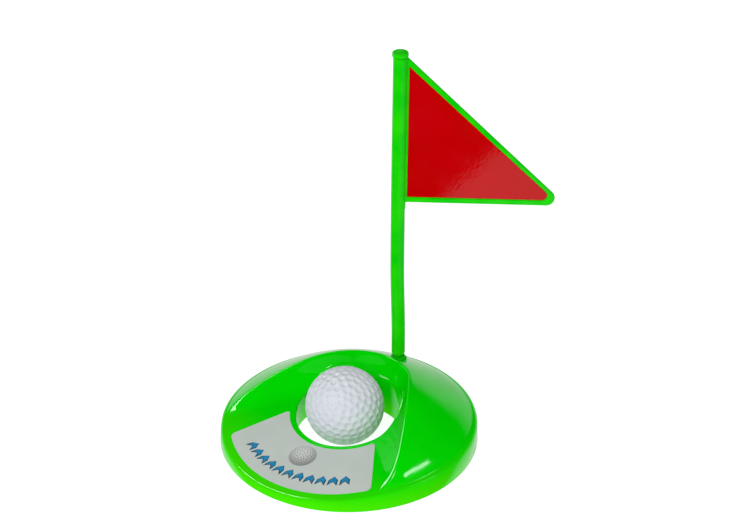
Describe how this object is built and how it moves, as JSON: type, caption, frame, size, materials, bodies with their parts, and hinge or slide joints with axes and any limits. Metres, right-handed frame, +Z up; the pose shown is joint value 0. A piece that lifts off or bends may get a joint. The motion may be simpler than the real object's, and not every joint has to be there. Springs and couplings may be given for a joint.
{
  "type": "practice putting hole",
  "caption": "Toy practice putting hole: a domed round base with a ramp cut into it and a hole through the middle, a pennant on a pole, and a dimpled ball lying in the hole.",
  "frame": {"origin": "on the floor, on the pole's axis: the middle of the flat end of the socket post under the dome", "axes": "+Z up along the pole, -Y towards the ramp's front edge, +X to the right when looking up the ramp"},
  "size_m": [0.1402, 0.1619, 0.2123],
  "materials": {
    "base_plastic": "glossy bright green moulding",
    "pole_plastic": "glossy green moulding, slightly darker than the base",
    "foot_plastic": "dark green moulding",
    "ramp_label": "satin grey-white label with a printed ball and printed blue marks",
    "flag_label": "glossy red label",
    "ball_plastic": "satin white, dimpled"
  },
  "bodies": {
    "base": {"base_shell": "base_plastic", "ramp_label": "ramp_label"},
    "foot": {"pole_foot": "foot_plastic"},
    "flag": {"flag_pole": "pole_plastic", "pole_cap": "pole_plastic", "flag_label_front": "flag_label", "flag_label_back": "flag_label"},
    "ball": {"ball_half_near": "ball_plastic", "ball_half_far": "ball_plastic"}
  },
  "joints": [
    {"name": "foot_pull", "type": "slide", "parent": "base", "child": "foot", "axis": [0, 0, 1], "range_m": [0, 0.022]},
    {"name": "flag_swivel", "type": "hinge", "parent": "foot", "child": "flag", "pos_m": [0, 0, 0.0307], "axis": [0, 0, 1], "continuous": true},
    {"name": "ball_lift", "type": "slide", "parent": "base", "child": "ball", "axis": [0, 0, 1], "range_m": [0, 0.04]}
  ]
}
